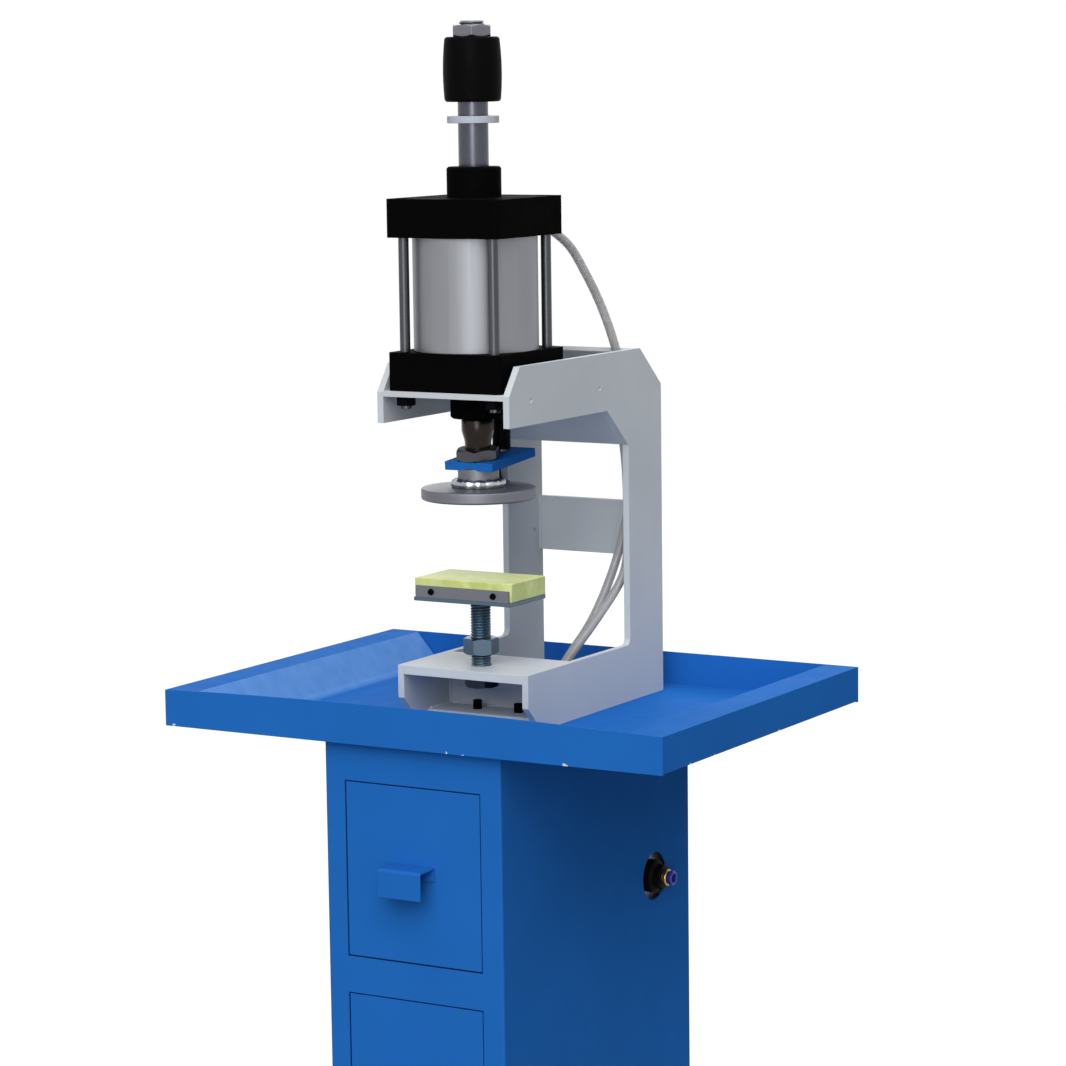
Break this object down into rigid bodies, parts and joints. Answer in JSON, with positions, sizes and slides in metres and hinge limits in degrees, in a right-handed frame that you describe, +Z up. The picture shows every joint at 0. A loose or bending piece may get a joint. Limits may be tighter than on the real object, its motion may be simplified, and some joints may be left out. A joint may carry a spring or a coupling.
{
  "type": "pneumatic leather punching machine",
  "caption": "Upright C-frame air press on a drawer cabinet with a wide tray: a vertical cylinder drives a round press plate down over a height-adjustable padded anvil.",
  "frame": {"origin": "on the floor at the middle of the footprint; the ram axis is vertical, 51.65 mm ahead of it", "axes": "+Z up, -Y to the front with the drawers, +X to the right seen from the front"},
  "size_m": [0.496, 0.3848, 1.2975],
  "materials": {
    "blue": "gloss blue paint",
    "grey": "light blue-grey paint",
    "black_metal": "black finish on steel and aluminium",
    "black_plastic": "matt black",
    "rubber": "matt black",
    "zinc": "zinc plated, slightly blue",
    "dark_steel": "dark oiled steel",
    "steel": "turned and ground",
    "aluminium": "anodised",
    "brass": "turned",
    "pad": "pale green cast polyurethane",
    "white_plastic": "off-white",
    "blue_plastic": "deep blue",
    "tube": "milky clear polyurethane tube"
  },
  "bodies": {
    "machine": {"cabinet_shell": "blue", "cabinet_sides": "blue", "cabinet_top": "blue", "cabinet_back": "blue", "back_screws": "zinc", "drawer_runners": "zinc", "feet": "rubber", "tray": "blue", "tube_grommet": "rubber", "side_plate_left": "grey", "side_plate_right": "grey", "base_plate": "grey", "foot_web": "grey", "foot_flanges": "grey", "frame_screws": "black_metal", "base_nut": "zinc", "cylinder_plate": "grey", "throat_plate": "grey", "rear_top_plate": "grey", "back_brace": "grey", "guide_sleeve": "black_metal", "cap_lower": "black_metal", "cap_upper": "black_metal", "barrel": "aluminium", "tie_rods": "dark_steel", "tie_nuts_lower": "dark_steel", "tie_nuts_upper": "zinc", "rod_bushes": "brass", "rod_wipers": "rubber", "port_fittings": "black_plastic", "air_tube_a": "tube", "air_tube_b": "tube", "valve_bracket": "zinc", "valve_body": "aluminium", "valve_coil": "black_plastic", "valve_fittings": "black_plastic", "silencers": "brass", "inlet_union": "black_plastic", "inlet_collar": "brass"},
    "ram": {"piston": "aluminium", "piston_seals": "rubber", "piston_rod": "steel", "ram_nut": "steel", "guide_plate": "blue", "guide_rod": "steel", "hub": "steel", "press_disc": "steel"},
    "stop": {"stop_collar": "black_metal", "stop_nut": "zinc"},
    "bumper": {"bump_ring": "white_plastic"},
    "anvil": {"pad": "pad", "pad_strip": "steel", "strip_screws": "black_metal", "anvil_post": "zinc"},
    "anvil_lock": {"lock_nut": "zinc"},
    "upper_drawer": {"drawer_upper": "blue", "handle_upper": "blue"},
    "lower_drawer": {"drawer_lower": "blue", "handle_lower": "blue"},
    "release_ring": {"inlet_ring": "blue_plastic"}
  },
  "joints": [
    {"name": "ram_slide", "type": "slide", "parent": "machine", "child": "ram", "axis": [0, 0, -1], "range_m": [0, 0.0485]},
    {"name": "bump_ring_slide", "type": "slide", "parent": "ram", "child": "bumper", "axis": [0, 0, 1], "range_m": [0, 0.0118]},
    {"name": "stop_collar_set", "type": "slide", "parent": "ram", "child": "stop", "axis": [0, 0, 1], "range_m": [-0.0115, 0.006]},
    {"name": "anvil_height", "type": "slide", "parent": "machine", "child": "anvil", "axis": [0, 0, 1], "range_m": [-0.025, 0.008]},
    {"name": "anvil_lock_run", "type": "slide", "parent": "machine", "child": "anvil_lock", "axis": [0, 0, 1], "range_m": [-0.0095, 0.008]},
    {"name": "upper_drawer_slide", "type": "slide", "parent": "machine", "child": "upper_drawer", "axis": [0, -1, 0], "range_m": [0, 0.15]},
    {"name": "lower_drawer_slide", "type": "slide", "parent": "machine", "child": "lower_drawer", "axis": [0, -1, 0], "range_m": [0, 0.15]},
    {"name": "release_ring_push", "type": "slide", "parent": "machine", "child": "release_ring", "axis": [-1, 0, 0], "range_m": [0, 0.001]}
  ],
  "couplings": [
    {"joint": "bump_ring_slide", "follows": "ram_slide", "ratio": 0.2423}
  ]
}
